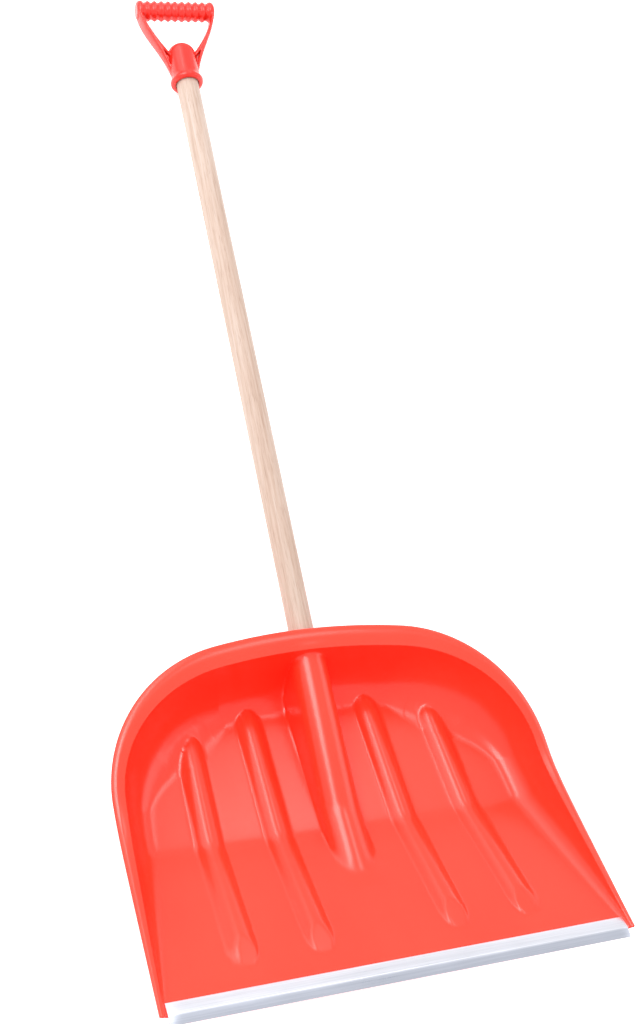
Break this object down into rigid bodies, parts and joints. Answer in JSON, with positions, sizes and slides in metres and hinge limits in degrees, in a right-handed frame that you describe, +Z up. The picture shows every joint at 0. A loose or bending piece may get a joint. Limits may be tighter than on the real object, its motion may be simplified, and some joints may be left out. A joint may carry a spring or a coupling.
{
  "type": "snow shovel",
  "caption": "Wide plastic scoop with stiffening ribs and a metal wear edge, on a round wooden shaft with a D-grip.",
  "frame": {"origin": "middle of the footprint, on the ground, with the shovel lying on its back", "axes": "+Y up the shaft towards the grip, +Z up and out of the scoop's face, X across the scoop"},
  "size_m": [0.516, 1.3381, 0.1796],
  "materials": {
    "scoop_plastic": "gloss",
    "grip_plastic": "gloss",
    "edge_metal": "satin",
    "shaft_wood": "bare, sanded",
    "screw_steel": "zinc plated"
  },
  "bodies": {
    "root": {"blade": "scoop_plastic", "wear_edge": "edge_metal", "shaft": "shaft_wood", "grip": "grip_plastic", "blade_screw": "screw_steel", "grip_screw": "screw_steel"}
  },
  "joints": []
}
